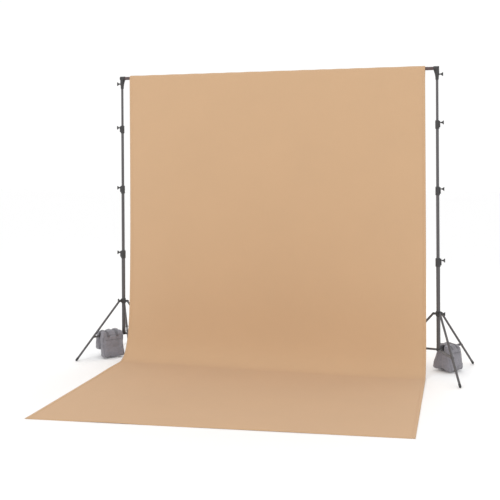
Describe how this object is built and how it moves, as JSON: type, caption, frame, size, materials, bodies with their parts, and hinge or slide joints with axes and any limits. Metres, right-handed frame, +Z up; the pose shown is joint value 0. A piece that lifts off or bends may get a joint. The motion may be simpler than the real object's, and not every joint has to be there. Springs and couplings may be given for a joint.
{
  "type": "photo backdrop support with cloth",
  "caption": "Cloth backdrop hung from a telescoping crossbar between two tripod light stands and swept onto the floor, with a saddle sandbag on each stand.",
  "frame": {"origin": "centre of the footprint of the whole object's box, on the floor", "axes": "+X along the crossbar from the left stand to the right one, -Y the way the cloth sweeps forward, +Z up"},
  "size_m": [3.6432, 2.4912, 2.7172],
  "materials": {
    "black_tube": "dark powder-coated tube",
    "black_plastic": "moulded, lightly textured",
    "rubber": "matte",
    "bar_tube": "brown-grey satin tube",
    "backdrop_cloth": "matte tan cotton cloth",
    "sandbag_fabric": "grey woven nylon"
  },
  "bodies": {
    "left_base": {"left_base_tube": "black_tube", "left_spreader": "black_plastic", "left_collar_1": "black_plastic", "left_bag_front": "sandbag_fabric", "left_bag_back": "sandbag_fabric", "left_bag_yoke": "sandbag_fabric", "cloth_drop": "backdrop_cloth", "cloth_sweep": "backdrop_cloth"},
    "crossbar": {"crossbar_left_end": "bar_tube", "crossbar_left_tube": "bar_tube", "crossbar_right_tube": "bar_tube"},
    "right_base": {"right_base_tube": "black_tube", "right_spreader": "black_plastic", "right_collar_1": "black_plastic", "right_bag_front": "sandbag_fabric", "right_bag_back": "sandbag_fabric", "right_bag_yoke": "sandbag_fabric"},
    "left_section_1": {"left_riser_1": "black_tube", "left_collar_2": "black_plastic"},
    "left_section_2": {"left_riser_2": "black_tube", "left_collar_3": "black_plastic"},
    "left_section_3": {"left_riser_3": "black_tube", "left_elbow": "black_plastic"},
    "left_hub_body": {"left_hub": "black_plastic"},
    "left_leg_1_body": {"left_leg_1": "black_tube", "left_foot_1": "rubber"},
    "left_brace_1_body": {"left_brace_1": "black_tube"},
    "left_leg_2_body": {"left_leg_2": "black_tube", "left_foot_2": "rubber"},
    "left_brace_2_body": {"left_brace_2": "black_tube"},
    "left_leg_3_body": {"left_leg_3": "black_tube", "left_foot_3": "rubber"},
    "left_brace_3_body": {"left_brace_3": "black_tube"},
    "left_collar_1_knob_body": {"left_collar_1_knob": "black_plastic"},
    "left_collar_2_knob_body": {"left_collar_2_knob": "black_plastic"},
    "left_collar_3_knob_body": {"left_collar_3_knob": "black_plastic"},
    "left_elbow_knob_body": {"left_elbow_knob": "black_plastic"},
    "left_hub_knob_body": {"left_hub_knob": "black_plastic"},
    "right_section_1": {"right_riser_1": "black_tube", "right_collar_2": "black_plastic"},
    "right_section_2": {"right_riser_2": "black_tube", "right_collar_3": "black_plastic"},
    "right_section_3": {"right_riser_3": "black_tube", "right_elbow": "black_plastic", "crossbar_right_end": "bar_tube"},
    "right_hub_body": {"right_hub": "black_plastic"},
    "right_leg_1_body": {"right_leg_1": "black_tube", "right_foot_1": "rubber"},
    "right_brace_1_body": {"right_brace_1": "black_tube"},
    "right_leg_2_body": {"right_leg_2": "black_tube", "right_foot_2": "rubber"},
    "right_brace_2_body": {"right_brace_2": "black_tube"},
    "right_leg_3_body": {"right_leg_3": "black_tube", "right_foot_3": "rubber"},
    "right_brace_3_body": {"right_brace_3": "black_tube"},
    "right_collar_1_knob_body": {"right_collar_1_knob": "black_plastic"},
    "right_collar_2_knob_body": {"right_collar_2_knob": "black_plastic"},
    "right_collar_3_knob_body": {"right_collar_3_knob": "black_plastic"},
    "right_elbow_knob_body": {"right_elbow_knob": "black_plastic"},
    "right_hub_knob_body": {"right_hub_knob": "black_plastic"}
  },
  "joints": [
    {"name": "span", "type": "slide", "parent": "left_base", "child": "right_base", "axis": [1, 0, 0], "range_m": [-0.05, 0.2]},
    {"name": "crossbar_height", "type": "slide", "parent": "left_base", "child": "crossbar", "axis": [0, 0, -1], "range_m": [0, 1.405], "deforming": ["cloth_drop"]},
    {"name": "left_riser_1_slide", "type": "slide", "parent": "left_base", "child": "left_section_1", "axis": [0, 0, -1], "range_m": [0, 0.55]},
    {"name": "left_riser_2_slide", "type": "slide", "parent": "left_section_1", "child": "left_section_2", "axis": [0, 0, -1], "range_m": [0, 0.505]},
    {"name": "left_riser_3_slide", "type": "slide", "parent": "left_section_2", "child": "left_section_3", "axis": [0, 0, -1], "range_m": [0, 0.35]},
    {"name": "left_hub_slide", "type": "slide", "parent": "left_base", "child": "left_hub_body", "axis": [0, 0, 1], "range_m": [0, 0.3878], "deforming": ["left_bag_yoke"]},
    {"name": "left_leg_1_fold", "type": "hinge", "parent": "left_hub_body", "child": "left_leg_1_body", "pos_m": [-1.51545, 0.73889, 0.522], "axis": [0.7431, -0.6691, 0], "range_deg": [0, 40.8]},
    {"name": "left_brace_1_fold", "type": "hinge", "parent": "left_base", "child": "left_brace_1_body", "pos_m": [-1.50608, 0.74929, 0.206], "axis": [-0.7431, 0.6691, 0], "range_deg": [0, 87.2]},
    {"name": "left_leg_2_fold", "type": "hinge", "parent": "left_hub_body", "child": "left_leg_2_body", "pos_m": [-1.44132, 0.76297, 0.522], "axis": [0.2079, 0.9781, 0], "range_deg": [0, 40.8]},
    {"name": "left_brace_2_fold", "type": "hinge", "parent": "left_base", "child": "left_brace_2_body", "pos_m": [-1.45501, 0.76588, 0.206], "axis": [-0.2079, -0.9781, 0], "range_deg": [0, 87.2]},
    {"name": "left_leg_3_fold", "type": "hinge", "parent": "left_hub_body", "child": "left_leg_3_body", "pos_m": [-1.49924, 0.81512, 0.522], "axis": [-0.9511, -0.309, 0], "range_deg": [0, 40.8]},
    {"name": "left_brace_3_fold", "type": "hinge", "parent": "left_base", "child": "left_brace_3_body", "pos_m": [-1.49491, 0.80181, 0.206], "axis": [0.9511, 0.309, 0], "range_deg": [0, 87.2]},
    {"name": "left_collar_1_knob_turn", "type": "hinge", "parent": "left_base", "child": "left_collar_1_knob_body", "pos_m": [-1.51534, 0.77233, 0.994], "axis": [-1, 0, 0], "range_deg": [0, 360]},
    {"name": "left_collar_2_knob_turn", "type": "hinge", "parent": "left_section_1", "child": "left_collar_2_knob_body", "pos_m": [-1.51234, 0.77233, 1.626], "axis": [-1, 0, 0], "range_deg": [0, 360]},
    {"name": "left_collar_3_knob_turn", "type": "hinge", "parent": "left_section_2", "child": "left_collar_3_knob_body", "pos_m": [-1.51084, 0.77233, 2.213], "axis": [-1, 0, 0], "range_deg": [0, 360]},
    {"name": "left_elbow_knob_turn", "type": "hinge", "parent": "left_section_3", "child": "left_elbow_knob_body", "pos_m": [-1.50684, 0.77233, 2.64], "axis": [-1, 0, 0], "range_deg": [0, 360]},
    {"name": "left_hub_knob_turn", "type": "hinge", "parent": "left_hub_body", "child": "left_hub_knob_body", "pos_m": [-1.51484, 0.77233, 0.522], "axis": [-1, 0, 0], "range_deg": [0, 360]},
    {"name": "right_riser_1_slide", "type": "slide", "parent": "right_base", "child": "right_section_1", "axis": [0, 0, -1], "range_m": [0, 0.55]},
    {"name": "right_riser_2_slide", "type": "slide", "parent": "right_section_1", "child": "right_section_2", "axis": [0, 0, -1], "range_m": [0, 0.505]},
    {"name": "right_riser_3_slide", "type": "slide", "parent": "right_section_2", "child": "right_section_3", "axis": [0, 0, -1], "range_m": [0, 0.35]},
    {"name": "right_hub_slide", "type": "slide", "parent": "right_base", "child": "right_hub_body", "axis": [0, 0, 1], "range_m": [0, 0.3878], "deforming": ["right_bag_yoke"]},
    {"name": "right_leg_1_fold", "type": "hinge", "parent": "right_hub_body", "child": "right_leg_1_body", "pos_m": [1.54206, 0.80803, 0.522], "axis": [-0.7934, 0.6088, 0], "range_deg": [0, 40.8]},
    {"name": "right_brace_1_fold", "type": "hinge", "parent": "right_base", "child": "right_brace_1_body", "pos_m": [1.53354, 0.79692, 0.206], "axis": [0.7934, -0.6088, 0], "range_deg": [0, 87.2]},
    {"name": "right_leg_2_fold", "type": "hinge", "parent": "right_hub_body", "child": "right_leg_2_body", "pos_m": [1.47005, 0.7782, 0.522], "axis": [-0.1305, -0.9914, 0], "range_deg": [0, 40.8]},
    {"name": "right_brace_2_fold", "type": "hinge", "parent": "right_base", "child": "right_brace_2_body", "pos_m": [1.48393, 0.77637, 0.206], "axis": [0.1305, 0.9914, 0], "range_deg": [0, 87.2]},
    {"name": "right_leg_3_fold", "type": "hinge", "parent": "right_hub_body", "child": "right_leg_3_body", "pos_m": [1.53188, 0.73075, 0.522], "axis": [0.9239, 0.3827, 0], "range_deg": [0, 40.8]},
    {"name": "right_brace_3_fold", "type": "hinge", "parent": "right_base", "child": "right_brace_3_body", "pos_m": [1.52653, 0.74369, 0.206], "axis": [-0.9239, -0.3827, 0], "range_deg": [0, 87.2]},
    {"name": "right_collar_1_knob_turn", "type": "hinge", "parent": "right_base", "child": "right_collar_1_knob_body", "pos_m": [1.54466, 0.77233, 0.994], "axis": [1, 0, 0], "range_deg": [0, 360]},
    {"name": "right_collar_2_knob_turn", "type": "hinge", "parent": "right_section_1", "child": "right_collar_2_knob_body", "pos_m": [1.54166, 0.77233, 1.626], "axis": [1, 0, 0], "range_deg": [0, 360]},
    {"name": "right_collar_3_knob_turn", "type": "hinge", "parent": "right_section_2", "child": "right_collar_3_knob_body", "pos_m": [1.54016, 0.77233, 2.213], "axis": [1, 0, 0], "range_deg": [0, 360]},
    {"name": "right_elbow_knob_turn", "type": "hinge", "parent": "right_section_3", "child": "right_elbow_knob_body", "pos_m": [1.53616, 0.77233, 2.64], "axis": [1, 0, 0], "range_deg": [0, 360]},
    {"name": "right_hub_knob_turn", "type": "hinge", "parent": "right_hub_body", "child": "right_hub_knob_body", "pos_m": [1.54416, 0.77233, 0.522], "axis": [1, 0, 0], "range_deg": [0, 360]}
  ],
  "couplings": [
    {"joint": "left_riser_1_slide", "follows": "crossbar_height", "ratio": 0.39146},
    {"joint": "left_riser_2_slide", "follows": "crossbar_height", "ratio": 0.35943},
    {"joint": "left_riser_3_slide", "follows": "crossbar_height", "ratio": 0.24911},
    {"joint": "left_leg_1_fold", "follows": "left_hub_slide", "rad_per_m": 1.8362},
    {"joint": "left_brace_1_fold", "follows": "left_hub_slide", "rad_per_m": 3.9246},
    {"joint": "left_leg_2_fold", "follows": "left_hub_slide", "rad_per_m": 1.8362},
    {"joint": "left_brace_2_fold", "follows": "left_hub_slide", "rad_per_m": 3.9246},
    {"joint": "left_leg_3_fold", "follows": "left_hub_slide", "rad_per_m": 1.8362},
    {"joint": "left_brace_3_fold", "follows": "left_hub_slide", "rad_per_m": 3.9246},
    {"joint": "right_riser_1_slide", "follows": "crossbar_height", "ratio": 0.39146},
    {"joint": "right_riser_2_slide", "follows": "crossbar_height", "ratio": 0.35943},
    {"joint": "right_riser_3_slide", "follows": "crossbar_height", "ratio": 0.24911},
    {"joint": "right_leg_1_fold", "follows": "right_hub_slide", "rad_per_m": 1.8362},
    {"joint": "right_brace_1_fold", "follows": "right_hub_slide", "rad_per_m": 3.9246},
    {"joint": "right_leg_2_fold", "follows": "right_hub_slide", "rad_per_m": 1.8362},
    {"joint": "right_brace_2_fold", "follows": "right_hub_slide", "rad_per_m": 3.9246},
    {"joint": "right_leg_3_fold", "follows": "right_hub_slide", "rad_per_m": 1.8362},
    {"joint": "right_brace_3_fold", "follows": "right_hub_slide", "rad_per_m": 3.9246}
  ]
}
